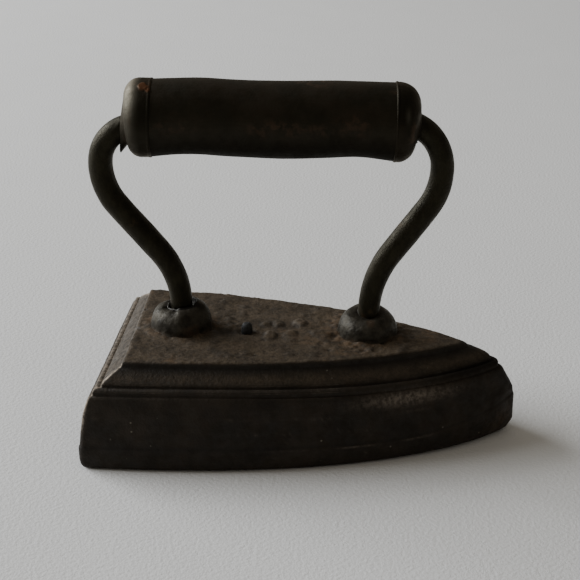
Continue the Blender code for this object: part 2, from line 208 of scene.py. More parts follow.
# Collars
COLLAR_RADIUS = 0.0114
COLLAR_HEIGHT = 0.0093
COLLAR_SIDES = 180
# A lip's radius, height and tilt up to one side, and its bowl's depth as a share of its height
REAR_LIP, REAR_BOWL = (0.0056, 0.0093, 0.0009), 0.32
FRONT_LIP, FRONT_BOWL = (0.0042, 0.0089, 0.0016), 0.02
LIP_ROLL = 0.00035
LIP_ROWS = 6
DOME_ROWS = 40

# Sleeve
LAP_RISE = 0.0005
SHEET_TUCK = 0.0008
SEAM_ANGLE = radians(146)
SLEEVE_ROWS = 196

# Caps. The face's place and the corner's radius are given at the grip's top and at its underside, and the
# torn lip below the rod by how far it stands out and how far it hangs down.
REAR_CAP = {
    "seam_x": GRIP_REAR[0],
    "face_ends": (GRIP_REAR[0] - 0.0103, GRIP_REAR[0] - 0.0087),
    "corner_ends": (0.0056, 0.0048),
    "neck_x": -0.0216,
    "lip": (0.0004, 0.0036),
}
FRONT_CAP = {
    "seam_x": GRIP_FRONT[0],
    "face_ends": (GRIP_FRONT[0] + 0.0096, GRIP_FRONT[0] + 0.0077),
    "corner_ends": (0.0085, 0.0062),
    "neck_x": 0.0873,
    "lip": (-0.0010, 0.0004),
}
RIM_LENGTH = 0.0009
NECK_RADIUS = 0.0048
LOWEST_IN_GRIP = 0.112
CAP_RIM_ROWS, CAP_SIDE_ROWS, CAP_CORNER_ROWS, CAP_FACE_ROWS, CAP_LIP_ROWS = 5, 14, 16, 14, 3
CAP_CORNER_END = CAP_RIM_ROWS + CAP_SIDE_ROWS + CAP_CORNER_ROWS - 1
CAP_CORNER_MIDDLE = CAP_CORNER_END - CAP_CORNER_ROWS // 2
RIM_FIXED_ROWS, NECK_FIXED_ROWS = 3, 8
# Scale on the rear cap: x, angle from the top, radius and rise of each blister
SCALE = ((-0.0130, radians(-24), 0.0021, 0.0004), (-0.0112, radians(-33), 0.0012, 0.0003))
# Painted highlight on the front cap: x, angle from the top, half length and half arc
PAINTED_HIGHLIGHTS = ((GRIP_FRONT[0] + 0.0042, radians(-67), 0.0008, 0.0028),)

# Plug
PLUG_SIDES = 48
PLUG_SHANK = ((0.0014, -0.0030), (0.0015, -0.0016), (0.0019, -0.0012))
PLUG_HEAD_RADIUS = 0.0022
PLUG_HEAD_HEIGHT = 0.0035
PLUG_HEAD_ROWS = 16

# Light
WINDOW_PLACE = Vector((-2.30, 0.60, 1.25))
WINDOW_TARGET = Vector((0.0, 0.0, 0.06))
WINDOW_WIDTH, WINDOW_HEIGHT = 2.4, 1.7
WINDOW_POWER = 118.0
WINDOW_COLOUR = (0.965, 0.985, 1.0)
ROOM_COLOUR = (1.0, 0.91, 0.77, 1.0)
ROOM_STRENGTH = 0.22
FLOOR_SIZE = 8

# Camera
VIEW_DISTANCE = 0.54014
VIEW_AZIMUTH = radians(2.9)
VIEW_ELEVATION = radians(22.62)
VIEW_ROLL = radians(1.52)
VIEW_TARGET = Vector((-0.0060, 0.0, 0.05435))
LENS = 88.23

# Large odd numbers that scramble the noise's lattice
SCRAMBLE_X, SCRAMBLE_Y, SCRAMBLE_Z, SCRAMBLE = 374761393, 668265263, 1440662683, 1274126177


# ---- Noise ---------------------------------------------------------------------------------------


def lattice(cells, seed):
    """A repeatable number from 0 to 1 for each whole-numbered cell."""
    x, y, z = (cells[..., i].astype(np.int64) for i in range(3))
    mixed = x * SCRAMBLE_X + y * SCRAMBLE_Y + z * SCRAMBLE_Z + seed * SCRAMBLE
    mixed = (mixed ^ (mixed >> 13)) * SCRAMBLE
    mixed = mixed ^ (mixed >> 16)
    return (mixed & 0xFFFFFF) / 0xFFFFFF


def noise(points, size, seed):
    """Smooth noise from -1 to 1, with lumps of about this size."""
    scaled = points / size
    cell = np.floor(scaled)
    part = scaled - cell
    part = part * part * part * (part * (part * 6 - 15) + 10)
    total = 0.0
    for corner in np.ndindex(2, 2, 2):
        weight = np.prod(np.where(np.array(corner) == 1, part, 1 - part), axis=-1)
        total = total + weight * lattice(cell + corner, seed)
    return total * 2 - 1


def layered(points, size, layers, seed):
    """Noise with finer and weaker noise laid over it."""
    total = 0.0
    for i in range(layers):
        total = total + noise(points, size / 2**i, seed + i) / 2**i
    return total / 1.6


def step(value, low, high):
    """0 up to low and 1 from high on, with a smooth change between. Low may be the larger of the two."""
    part = np.clip((value - low) / (high - low), 0, 1)
    return part * part * (3 - 2 * part)


def bump(distance, width):
    """A rounded hill, 1 at no distance."""
    return np.exp(-((distance / width) ** 2))


# ---- Meshes --------------------------------------------------------------------------------------


def normals_of(rings):
    """Outward normals of a grid of points. Its rows go round the piece, clockwise seen from the last."""
    along = np.gradient(rings, axis=0)
    around = np.roll(rings, -1, axis=1) - np.roll(rings, 1, axis=1)
    normal = np.cross(along, around)
    return normal / np.maximum(np.linalg.norm(normal, axis=-1, keepdims=True), 1e-12)


def relief_of(rings, normal):
    """How far each point stands out from its neighbours: edges are above 0, and grooves below."""
    last = len(rings) - 1
    rows = np.arange(last + 1)
    before, after = np.maximum(rows - 1, 0), np.minimum(rows + 1, last)
    beside = (np.roll(rings, 1, axis=1) + np.roll(rings, -1, axis=1)) / 2
    between = (rings[before] + rings[after]) / 2
    middle = (beside + between) / 2
    return np.sum((rings - middle) * normal, axis=-1)


def folded(ring):
    """Faces that close a ring whose two halves lie side by side."""
    count = len(ring)
    pairs = [(ring[i], ring[i + 1], ring[-i - 1], ring[-i % count]) for i in range(count // 2)]
    return [tuple(int(point) for point in dict.fromkeys(pair)) for pair in pairs]


def lofted(name, rings, fields=None):
    """A closed smooth mesh through rings of points, with values at the points.

    The rings go round clockwise, seen from the last one. The first and the last are closed across.
    """
    rows, count, _ = rings.shape
    first = np.arange(rows * count).reshape(rows, count)
    beside = np.roll(first, -1, axis=1)
    quads = np.stack([first[:-1], first[1:], beside[1:], beside[:-1]], axis=-1).reshape(-1, 4)
    faces = quads.tolist() + folded(first[0]) + [face[::-1] for face in folded(first[-1])]
    mesh = bpy.data.meshes.new(name)
    mesh.from_pydata(rings.reshape(-1, 3).tolist(), [], faces)
    for field, values in (fields or {}).items():
        flat = values.reshape(-1).astype(np.float32)
        mesh.attributes.new(field, "FLOAT", "POINT").data.foreach_set("value", flat)
    mesh.shade_smooth()
    made = bpy.data.objects.new(name, mesh)
    bpy.context.scene.collection.objects.link(made)
    return made


def place(piece, node, slot, material):
    """The piece stands for the CAD node, rides with the iron and takes the given material; the slot is not
    used.
    """
    piece.data.materials.append(material)
    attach(piece, "root")
    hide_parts(node)


def from_handle(points):
    """Points in the handle's plane (x along it, y across it, z up), turned into place."""
    x, y, z = points[..., 0], points[..., 1], points[..., 2]
    turned_x = REAR_FOOT.x + x * cos(HANDLE_YAW) - y * sin(HANDLE_YAW)
    turned_y = REAR_FOOT.y + x * sin(HANDLE_YAW) + y * cos(HANDLE_YAW)
    return np.stack([turned_x, turned_y, z], axis=-1)


# ---- Body ----------------------------------------------------------------------------------------


def half_width(station):
    """Half the body's width at a station, from 0 at the heel to 1 at the toe."""
    return BODY_WIDTH / 2 * np.maximum(1 - station**OUTLINE_POWER, 0) ** OUTLINE_EXPONENT


def side_line(inset):
    """One side of the outline moved in by the inset, from the heel to the middle of the rounded toe."""
    length = TOE_X - HEEL_X
    toe_radius = TOE_RADIUS + (PLATEAU_TOE_RADIUS - TOE_RADIUS) * inset / DEEPEST_INSET
    station = 1 - (1 - np.arange(600) / 600) ** 1.7
    slope = (half_width(station + 1e-6) - half_width(station)) / 1e-6 / length
    lean = np.sqrt(1 + slope * slope)
    x = HEEL_X + station * length + inset * slope / lean
    y = half_width(station) - inset / lean
    narrow = np.flatnonzero(y * lean < toe_radius)
    last = narrow[0] if len(narrow) else len(x)
    x, y = x[:last], y[:last]
    toe_angle = np.arcsin(min(y[-1] / toe_radius, 1.0))
    angles = toe_angle * (1 - np.arange(1, TOE_STEPS + 1) / TOE_STEPS)
    centre_x = x[-1] - toe_radius * cos(toe_angle)
    x = np.concatenate([x, centre_x + toe_radius * np.cos(angles)])
    y = np.concatenate([y, toe_radius * np.sin(angles)])
    return np.stack([x, y], axis=1)


def outline(inset):
    """The closed outline moved in by the inset, with the same number of points for every inset."""
    heel = HEEL_X + inset
    side = side_line(inset)
    radius = WALL_CORNER - (WALL_CORNER - MOULDING_CORNER) * inset / MOULDING_INSET
    radius = max(radius, MOULDING_CORNER)
    side = side[side[:, 0] > heel + radius]
    corner_x, corner_y = heel + radius, side[0, 1] - radius
    heel_line = [(heel, corner_y * i / HEEL_STEPS) for i in range(HEEL_STEPS)]
    angles = pi - pi / 2 * np.arange(CORNER_STEPS) / CORNER_STEPS
    corner = np.stack([corner_x + radius * np.cos(angles), corner_y + radius * np.sin(angles)], axis=1)
    side = np.concatenate([[(corner_x, corner_y + radius)], side])
    lengths = np.concatenate([[0], np.cumsum(np.hypot(*np.diff(side, axis=0).T))])
    wanted = (1 - (1 - np.arange(SIDE_STEPS + 1) / SIDE_STEPS) ** 1.15) * lengths[-1]
    side = np.stack([np.interp(wanted, lengths, side[:, i]) for i in (0, 1)], axis=1)
    half = np.concatenate([heel_line, corner, side])
    return np.concatenate([half, half[-2:0:-1] * (1, -1)])


def lift(x):
    """How far the plateau is above its mean height: it falls a little towards the toe."""
    return PLATEAU_FALL * (0.55 - (x - HEEL_X) / (TOE_X - HEEL_X))


def edge_ring(inset, height):
    """The edge's ring at this inset and height, with the rises, sways and slants of a hand-made pattern."""
    ring = outline(inset)
    station = (ring[:, 0] - HEEL_X) / (TOE_X - HEEL_X)
    heights, rises, backs = np.array(TOE_SHAPE).T
    toe = np.clip(station, 0, 1) ** TOE_POWER
    level = min(height / PLATEAU_Z, 1.0)
    sway = SIDE_SWAY * 4 * level * (1 - level) * np.sin(2 * pi * station)
    heel = np.clip(1 - station, 0, 1) ** HEEL_POWER
    slant = HEEL_SLANT * (ring[:, 1] / BODY_WIDTH + 0.5) * heel
    slant *= np.interp(height, (0.0290, 0.0350), (1, 0))
    slant -= HEEL_SPREAD * np.interp(height, (0.010, 0.022, 0.033, 0.036), (0, 1, 1, 0)) * heel
    belly = FAR_BELLY * bump(station - 0.52, 0.24) * np.interp(height, (0.030, 0.036), (0, 1))
    belly = belly * (ring[:, 1] > 0)
    x = ring[:, 0] - np.interp(height, heights, backs) * toe + slant
    z = height + np.interp(height, heights, rises) * toe + sway + lift(ring[:, 0]) * level
    return np.stack([x, ring[:, 1] + belly, z], axis=1)


def body_rings():
    """The body's rings from the sole's middle to the plateau's, with each one's height on the sides."""
    section = []
    for (inset, height, spacing), (next_inset, next_height, _) in zip(WALL_SECTION, WALL_SECTION[1:]):
        count = max(1, round(hypot(next_inset - inset, next_height - height) / spacing))
        for i in range(count):
            part = i / count
            section.append((inset + (next_inset - inset) * part, height + (next_height - height) * part))
    section.append((WALL_SECTION[-1][0], PLATEAU_Z))
    rings = [edge_ring(inset, height) for inset, height in section]
    spine = np.clip(rings[-1][:, 0], SPINE_REAR_X, SPINE_FRONT_X)
    spine = np.stack([spine, np.zeros_like(spine), PLATEAU_Z + lift(spine)], axis=1)
    plateau = [rings[-1] + (spine - rings[-1]) * i / PLATEAU_ROWS for i in range(1, PLATEAU_ROWS)]
    ground = spine * (1, 1, 0)
    sole = [ground + (rings[0] - ground) * i / SOLE_ROWS for i in range(1, SOLE_ROWS)]
    levels = [0.0] * len(sole) + [height for _, height in section] + [PLATEAU_Z] * len(plateau)
    return np.array(sole + rings + plateau), np.array(levels)[:, None]


def ornament(points):
    """A worn cast ornament between the collars: rows of low, rounded, broken lumps."""
    x, y = points[..., 0], points[..., 1]
    ground = points * (1, 1, 0)
    lumps = 0.0
    for row_y, first_x, spacing, count, half_length, half_depth in ORNAMENT_ROWS:
        for i in range(count):
            uneven = sin(5.0 * i + 90.0 * first_x)
            across = x - first_x - spacing * i - 0.0010 * cos(3.0 * i)
            across = across / (half_length * (1 + 0.22 * uneven))
            along = (y - row_y - 0.0014 * uneven) / (half_depth * (1 - 0.18 * cos(4.0 * i)))
            lump = step(np.hypot(across, along), 1.15, 0.25) * (0.8 + 0.2 * uneven)
            lumps = np.maximum(lumps, lump)
    return step(lumps + 0.40 * noise(ground, 0.0042, 16) + 0.15 * noise(ground, 0.0019, 18), 0.0, 1.0)


class Site:
    """Where each point of the smooth body is: its place, its distance from the feet and the plug, and how
    far it is on each feature, from 0 to 1.
    """

    def __init__(self, rings, level):
        self.x, self.y, self.z = rings[..., 0], rings[..., 1], rings[..., 2]
        self.level = level
        self.on_top = step(self.z - lift(self.x), PLATEAU_Z - 0.0006, PLATEAU_Z - 0.0001)
        self.above_sole = step(self.z, 0.0003, 0.0025)
        column = np.arange(rings.shape[1])
        mitre = HEEL_STEPS + CORNER_STEPS / 2 - 1
        self.past_mitre = np.minimum(column, rings.shape[1] - column) - mitre
        self.at_heel = step(self.past_mitre, 1.0, -1.0)
        self.heel_slope = self.at_heel * step(level, *MOULDINGS_BEGIN) * (1 - self.on_top)
        self.ledge = bump(level - LEDGE_LEVEL, 0.0012) * step(self.x, *LEDGE_FADE_X)
        self.bead_end = bump(level - BEAD_LEVEL, 0.0013) * step(self.x, TOE_X - 0.045, TOE_X - 0.018)
        rear_distance = np.hypot(self.x - REAR_FOOT.x, self.y - REAR_FOOT.y)
        self.front_distance = np.hypot(self.x - FRONT_FOOT.x, self.y - FRONT_FOOT.y)
        self.near_collar = np.minimum(rear_distance, self.front_distance)
        self.plug_distance = np.hypot(self.x - PLUG.x, self.y - PLUG.y)
        trough = bump(self.y - PLUG.y + 0.0005, 0.0026) * step(self.x, PLUG.x + 0.0010, PLUG.x - 0.0010)
        trough = trough * step(self.x, REAR_FOOT.x + 0.009, REAR_FOOT.x + 0.013)
        self.trough = trough * (0.75 + 0.25 * noise(rings, 0.0035, 15))
        self.lumps = ornament(rings)


def cast_surface(site, rings):
    """The casting's swell, grain and pits. Its mouldings swell less than its wall."""
    moulded = 1 - 0.6 * step(site.z, *MOULDINGS_BEGIN) * (1 - site.on_top)
    swell = moulded * (0.22 * MM * noise(rings, 0.019, 1) + 0.07 * MM * noise(rings, 0.007, 2))
    grain = 0.05 * MM * layered(rings, 0.0030, 2, 3)
    pits = step(noise(rings, 0.0034, 5), 0.45, 0.8) * (0.5 + 0.5 * noise(rings, 0.02, 6))
    return site.above_sole * (swell + grain - PIT_DEPTH * pits)


def plateau_surface(site, rings):
    """What the plateau has besides: a coarser grain, rims by the collars, the ornament, and a trough."""
    height = 0.10 * MM * layered(rings, 0.0022, 2, 8) + 0.16 * MM * noise(rings, 0.0052, 9)
    height -= 0.14 * MM * step(noise(rings, 0.0026, 11), 0.45, 0.80)
    weld = step(site.near_collar + 0.0012 * noise(rings, 0.004, 10), 0.0160, 0.0118)
    height += WELD_RISE * weld * (1 + noise(rings, 0.0024, 12))
    height += ORNAMENT_RISE * site.lumps * (0.65 + 0.35 * noise(rings, 0.0090, 13))
    rough = bump(site.x - PLUG.x + 0.006, 0.012) * bump(site.y - PLUG.y - 0.006, 0.010)
    rough = rough + bump(site.front_distance - 0.014, 0.006)
    height += ROUGH_RISE * rough * noise(rings, 0.0023, 14)
    height -= TROUGH_DEPTH * site.trough
    height -= PLUG_GROOVE_DEPTH * bump(site.plug_distance - 0.0026, 0.0008)
    return site.on_top * height


def dents(site):
    """How deep each point is in a casting flaw."""
    depths = 0.0
    for dent_x, dent_y, size, depth in DENTS:
        depths = depths + depth * bump(np.hypot(site.x - dent_x, site.y - dent_y), size)
    return depths * step(site.z, 0.030, 0.036)


def body_wear_and_highlight(site, rings, relief):
    """Where the body is lighter: rubbed edges and a rubbed spot on the near wall, and painted highlights on
    the heel's mitres and slope.
    """
    wear_and_highlight = 0.2 * step(relief, 0.010, 0.06) * step(noise(rings, 0.011, 21), -0.5, 0.4)
    wear_and_highlight = wear_and_highlight * step(TOE_X - site.x, 0.018, 0.045) * (1 - site.ledge)
    # Painted highlight: a bright line down the heel's mitres, where the edge catches the light.
    mitre = bump(site.past_mitre + 2, 5)
    mitre = mitre * step(site.z, 0.012, 0.0245) * step(site.z, PLATEAU_Z, PLATEAU_Z - 0.0010)
    wear_and_highlight = np.maximum(wear_and_highlight, mitre * (1.30 + 0.4 * noise(rings, 0.003, 25)))
    middle_x, middle_z, half_x, half_z = RUBBED
    lightened = bump(site.x - middle_x, half_x) * bump(site.z - middle_z, half_z) * (site.y < 0)
    wear_and_highlight = np.maximum(wear_and_highlight, 0.45 * lightened) * step(site.level, 0.003, 0.006)
    # The heel's slope and bead are lightened: partly wear, partly a painted highlight where they face the
    # light.
    return np.maximum(wear_and_highlight, site.heel_slope * (0.23 + 0.34 * bump(site.level - BEAD_LEVEL, 0.0006)))


def body_shade_and_stain(site, relief):
    """Where the body is darker: painted shade in grooves, cove, ledge, the bead's end, the collars' foot
    and round the lumps, and stain with painted shade in the trough.
    """
    # Painted shade: the cove under the plateau's edge and the grooves are darkened.
    cove = bump(site.level - COVE_LEVEL, 0.0013) * (1 - site.at_heel)
    shade_and_stain = np.maximum(0.6 * step(-relief, 0.006, 0.05), 0.8 * cove)
    # Painted shade on the ledge and the bead's top near the toe, where they catch the light; none on the
    # heel's slope.
    shade_and_stain = np.maximum(shade_and_stain, np.maximum(0.7 * site.ledge, 0.9 * site.bead_end)) * (1 - site.heel_slope)
    # Stain and painted shade in the trough, painted shade at the collars' foot, painted shadow round the
    # ornament's lumps.
    stain_and_shadow = np.maximum(site.trough, 0.6 * step(site.near_collar, 0.0135, 0.0115))
    stain_and_shadow = np.maximum(stain_and_shadow, 0.6 * bump(site.lumps - 0.32, 0.22))
    return np.maximum(shade_and_stain, 0.75 * site.on_top * stain_and_shadow)


def body_rust(site, rings):
    """Where the body is orange: round the collars, in patches on the plateau, and low at the toe."""
    rust = step(site.near_collar, 0.0175, 0.0115) * step(noise(rings, 0.004, 22), -0.6, 0.5)
    rust = np.maximum(rust, 0.6 * step(noise(rings, 0.008, 23), 0.25, 0.8))
    by_front_collar = bump(site.front_distance - 0.0135, 0.0050)
    by_front_collar = by_front_collar * step(FRONT_FOOT.x - site.x, -0.004, 0.006)
    rust = site.on_top * np.maximum(rust, 0.9 * by_front_collar)
    low_toe = step(site.x, TOE_X - 0.016, TOE_X - 0.004) * step(site.z, 0.016, 0.006)
    return np.maximum(rust, 0.25 * low_toe * site.above_sole)


def cast_body():
    """The body's skin, with what its material needs at each point."""
    rings, level = body_rings()
    site = Site(rings, level)
    height = cast_surface(site, rings) + plateau_surface(site, rings) - dents(site)
    rings = rings + normals_of(rings) * height[..., None]
    rings[..., 2] = np.maximum(rings[..., 2], 0.0)
    relief = relief_of(rings, normals_of(rings)) / MM
    # The slope below the cove takes the top's dusty colour: dust, and painted light on a face that turns up
    # to the light.
    slope_dust_and_light = 0.50 * bump(level - SLOPE_LEVEL, 0.0016) * (1 - site.at_heel)
    fields = {
        "wear_and_highlight": body_wear_and_highlight(site, rings, relief),
        "shade_and_stain": body_shade_and_stain(site, relief),
        "rust": body_rust(site, rings),
        "top": np.maximum(site.on_top, slope_dust_and_light),
        "matt": site.bead_end,
    }
    return lofted("cast_body", rings, fields)


# ---- Rod -----------------------------------------------------------------------------------------


def bend(before, corner, after, radius):
    """Points of the arc that rounds a corner of the rod's centre line."""
    into = (Vector(corner) - Vector(before)).normalized()
    out = (Vector(after) - Vector(corner)).normalized()
    turn = into.angle(out)
    side = 1 if into.x * out.y - into.y * out.x > 0 else -1
    start = Vector(corner) - into * radius * np.tan(turn / 2)
    centre = start + Vector((-into.y, into.x)) * side * radius
    first = atan2(start.y - centre.y, start.x - centre.x)
    angles = [first + side * turn * i / BEND_STEPS for i in range(BEND_STEPS + 1)]
    return [(centre.x + radius * cos(angle), centre.y + radius * sin(angle)) for angle in angles]


def rod_line():
    """The rod's centre line in the handle's plane, as evenly spaced (x, z) points."""
    foot_z = PLATEAU_Z - ROD_FOOT_DEPTH
    corners = [(0.0, foot_z), *[corner[:2] for corner in ROD_CORNERS], (HANDLE_SPAN, foot_z)]
    points = [corners[0]]
    for i, (_, _, radius) in enumerate(ROD_CORNERS):
        points += bend(corners[i], corners[i + 1], corners[i + 2], radius)
    points = np.array(points + [corners[-1]])
    lengths = np.concatenate([[0], np.cumsum(np.hypot(*np.diff(points, axis=0).T))])
    wanted = np.linspace(0, lengths[-1], round(lengths[-1] / ROD_STEP))
    line = np.stack([np.interp(wanted, lengths, points[:, i]) for i in (0, 1)], axis=1)
    for _ in range(SMOOTHING_ROUNDS):
        line[1:-1] = (line[:-2] + 2 * line[1:-1] + line[2:]) / 4
    return line


def line_normals(line):
    """Unit normals of a line in the handle's plane."""
    tangent = np.gradient(line, axis=0)
    tangent /= np.linalg.norm(tangent, axis=1, keepdims=True)
    return np.stack([-tangent[:, 1], tangent[:, 0]], axis=1)


def rings_round(centres, normals, radii, sides):
    """Rings about points of the handle's plane. Angle 0 is on the normal's side."""
    angle = 2 * pi * np.arange(sides) / sides
    radii = radii[:, None]
    x = centres[:, :1] + normals[:, :1] * radii * np.cos(angle)
    z = centres[:, 1:] + normals[:, 1:] * radii * np.cos(angle)
    return np.stack([x, radii * np.sin(angle), z], axis=-1)


def handle_rod():
    """The bent rod, a little uneven, with worn flats."""
    line = rod_line()
    radii = np.interp(line[:, 1], ROD_HEIGHTS, ROD_RADII)
    rings = rings_round(line, line_normals(line), radii, ROD_SIDES)
    skin = normals_of(rings)
    height = 0.10 * MM * noise(rings, 0.013, 31) + 0.035 * MM * noise(rings, 0.004, 32)
    height += 0.02 * MM * noise(rings, 0.0012, 33)
    flats = step(noise(rings * (1, 2, 1), 0.009, 34), 0.3, 0.7)
    rings = rings + skin * (height - 0.05 * MM * flats)[..., None]
    low = step(rings[..., 2], PLATEAU_Z + 0.016, PLATEAU_Z + 0.008)
    rust = np.maximum(low * 0.6, step(noise(rings, 0.009, 35), 0.25, 0.8))
    return lofted("rod", from_handle(rings), {"rust": rust})


# ---- Collars -------------------------------------------------------------------------------------


def collar(name, foot, lip_side, lip_shape, bowl, seed):
    """A poured collar: a lumpy dome with a spread rim below, and a ragged lip round a bowl above.

    The lip has this radius, height and tilt up to one side. The bowl's depth is a share of its height.
    """
    lip_at, lip_height, lip_tilt = lip_shape
    angle = 2 * pi * np.arange(COLLAR_SIDES) / COLLAR_SIDES
    round_about = np.stack([np.cos(angle), np.sin(angle), np.zeros_like(angle)], axis=1)
    ragged = noise(round_about, 0.55, seed) * 0.5 + noise(round_about, 0.24, seed + 1) * 0.35
    lip_rise = lip_tilt * np.cos(angle - lip_side) + 0.0032 * bowl * ragged
    open_side = np.maximum(np.cos(angle - lip_side), 0)
    lip_radius = lip_at + 0.0028 * bowl * open_side + 0.0012 * bowl * noise(round_about, 0.5, seed + 2)
    lip_z = PLATEAU_Z + lip_height + lip_rise
    base_radius = COLLAR_RADIUS + 0.0004 * noise(round_about, 0.8, seed + 3)
    rows = []
    for share, part in ((0.60, 0.30), (0.62, 1 - bowl), (0.76, 1 - 0.7 * bowl), (0.90, 1 - 0.4 * bowl)):
        rows.append((lip_radius * share, PLATEAU_Z + (lip_height + lip_rise) * part))
    for i in range(LIP_ROWS):
        turn = pi * (1 - i / (LIP_ROWS - 1))
        rows.append((lip_radius - LIP_ROLL + LIP_ROLL * cos(turn), lip_z + LIP_ROLL * sin(turn)))
    for i in range(1, DOME_ROWS):
        turn = pi / 2 * i / DOME_ROWS
        radius = lip_radius + (base_radius - lip_radius) * sin(turn) ** 0.92
        top = lip_height + lip_rise * (1 - i / DOME_ROWS) ** 2
        rows.append((radius, PLATEAU_Z + 0.0005 + (top - 0.0005) * cos(turn) ** 0.9))
    for radius, rise in ((0.0002, 0.0004), (0.0003, -0.0004), (0.0003, -0.0010), (-0.004, -0.0012)):
        rows.append((base_radius + radius, np.full_like(angle, PLATEAU_Z + rise)))
    rings = np.array([np.stack([r * np.cos(angle), r * np.sin(angle), z], axis=1) for r, z in rows])
    rise = (rings[..., 2] - PLATEAU_Z) / COLLAR_HEIGHT
    outside = step(np.hypot(rings[..., 0], rings[..., 1]), 0.0058, 0.0072)
    rings = rings + (foot.x, foot.y, lift(foot.x))
    skin = normals_of(rings)
    height = 0.30 * MM * noise(rings, 0.0065, seed + 4) + 0.12 * MM * noise(rings, 0.0026, seed + 5)
    height += 0.04 * MM * noise(rings, 0.0011, seed + 6)
    rings = rings + skin * (height * outside * step(rise, -0.02, 0.1))[..., None]
    rust = step(rise, 0.22, 0.0) * step(noise(rings, 0.003, seed + 7), -0.7, 0.3)
    rust = np.maximum(rust, 0.8 * step(noise(rings, 0.005, seed + 8), 0.3, 0.8))
    # Painted shade inside the bowl above the lip.
    painted_shade = step(rise, 0.25, 0.75) * (1 - outside) * min(bowl / 0.3, 1.0)
    return lofted(name, rings, {"rust": rust, "shade_and_stain": painted_shade})


# ---- Grip ----------------------------------------------------------------------------------------


def grip_axis(x):
    """The height of the grip's axis at this place along the handle."""
    share = (x - GRIP_REAR[0]) / (GRIP_FRONT[0] - GRIP_REAR[0])
    return GRIP_REAR[1] + (GRIP_FRONT[1] - GRIP_REAR[1]) * share


def grip_shape(x):
    """How far the grip's top and its underside stand out from its mean radius: a worn waist."""
    top = 0.52 * bump(x - 0.006, 0.010) - 0.30 * bump(x - 0.031, 0.014) + 0.18 * bump(x - 0.057, 0.014)
    top -= 0.25 * bump(x + 0.014, 0.006) + 0.20 * bump(x - 0.082, 0.010)
    under = -0.85 * bump(x - 0.003, 0.012) + 0.60 * bump(x - 0.037, 0.013) - 0.72 * bump(x - 0.064, 0.010)
    under += 0.75 * bump(x + 0.014, 0.009) + 1.20 * bump(x - 0.081, 0.008)
    return top * MM, under * MM


def grip_radius(x, angle):
    """The grip's radius at this place along the handle and this angle from its top."""
    top, under = grip_shape(x)
    up = np.cos(angle)
    return GRIP_RADIUS + top * np.maximum(up, 0) ** 1.5 + under * np.maximum(-up, 0) ** 1.5


def around_grip(x, radius, angle):
    """A point of the grip at this angle from its top."""
    x = x + 0 * angle
    return np.stack([x, radius * np.sin(angle), grip_axis(x) + radius * np.cos(angle)], axis=-1)


def grip_sleeve():
    """The rolled sheet, dented by use, with a lapped edge below and its ends under the caps' rims."""
    angle = 2 * pi * np.arange(GRIP_SIDES) / GRIP_SIDES
    past_lap = (angle - SEAM_ANGLE) % (2 * pi)
    lap = LAP_RISE * step(past_lap, radians(46), 0.0) * step(past_lap, 0.0, radians(1.5))
    places = np.linspace(GRIP_REAR[0] - SHEET_TUCK, GRIP_FRONT[0] + SHEET_TUCK, SLEEVE_ROWS)
    rings = np.array([around_grip(x, grip_radius(x, angle) + lap, angle) for x in places])
    skin = normals_of(rings)
    height = 0.14 * MM * noise(rings * (0.6, 1, 1), 0.010, 61)
    height += 0.05 * MM * noise(rings * (0.5, 1, 1), 0.004, 62)
    height += 0.015 * MM * noise(rings, 0.0014, 63)
    rings = rings + skin * height[..., None]
    rust = step(noise(rings * (0.5, 1, 1), 0.008, 64), 0.2, 0.8)
    # Painted shade: the sheet is darker towards its underside.
    painted_shade = np.broadcast_to(step(-np.cos(angle), -0.2, 0.9), rust.shape)
    return lofted("grip_sheet", from_handle(rings), {"rust": rust * (1 - painted_shade), "painted_shade": painted_shade})


def from_top(ends, angle):
    """A value at each angle, from the first end at the grip's top to the second at its underside."""
    top, under = ends
    return top + (under - top) * (1 - np.cos(angle)) / 2


def arc_from(middle, angle):
    """How far round the grip each angle is from the middle one, in metres."""
    return GRIP_RADIUS * np.abs((angle - middle + pi) % (2 * pi) - pi)


def underside(angle):
    """1 at the grip's underside, and 0 at its sides and top."""
    return step(-np.cos(angle), 0.35, 0.95)


def cap_rings(angle, outward, seed, seam_x, face_ends, corner_ends, neck_x, lip):
    """A cap's rings: a rolled rim at the seam, a side, a rounded corner, and a face closed on the rod."""
    under = underside(angle)
    face, corner = from_top(face_ends, angle), from_top(corner_ends, angle)
    side = grip_radius(seam_x, angle) + 0.00022
    rim = ((-0.0012, 0.0), (-0.0004, 0.0), (0.0, 0.0002), (0.00015, 0.0005), (0.00012, RIM_LENGTH))
    rows = [around_grip(seam_x + outward * along, side + rise, angle) for rise, along in rim]
    first, last = seam_x + outward * RIM_LENGTH, face - outward * corner
    for i in range(1, CAP_SIDE_ROWS + 1):
        rows.append(around_grip(first + (last - first) * i / CAP_SIDE_ROWS, side, angle))
    for i in range(1, CAP_CORNER_ROWS + 1):
        turn = pi / 2 * i / CAP_CORNER_ROWS
        x = face - outward * corner * (1 - sin(turn))
        rows.append(around_grip(x, side - corner * (1 - cos(turn)), angle))
    line = rod_line()
    line = line[line[:, 1] > LOWEST_IN_GRIP]
    neck_z = line[np.argmin(np.abs(line[:, 0] - neck_x)), 1]
    ragged = noise(np.stack([np.cos(angle), np.sin(angle), 0 * angle], axis=1), 0.22, seed)
    for out, wide, inner, count in (
        (1.0, 1.0, 0.0, CAP_FACE_ROWS),
        (0.97, 0.86, 0.0004, CAP_LIP_ROWS),
        (0.2, 0.3, 0.0016, CAP_LIP_ROWS),
        (0.0, 0.0, 0.0030, CAP_LIP_ROWS),
    ):
        radius = NECK_RADIUS * (1 + 0.14 * np.cos(angle) ** 2) - 0.25 * inner
        radius = radius + lip[1] * under * wide * (1 + 0.15 * ragged)
        x = neck_x + outward * (lip[0] * under * out * (1 + 0.35 * ragged) - inner)
        y = radius * np.sin(angle) * (1 - 0.35 * under)
        ring = np.stack([x, y, neck_z + radius * np.cos(angle)], axis=-1)
        before = rows[-1]
        rows += [before + (ring - before) * i / count for i in range(1, count + 1)]
    return np.array(rows)


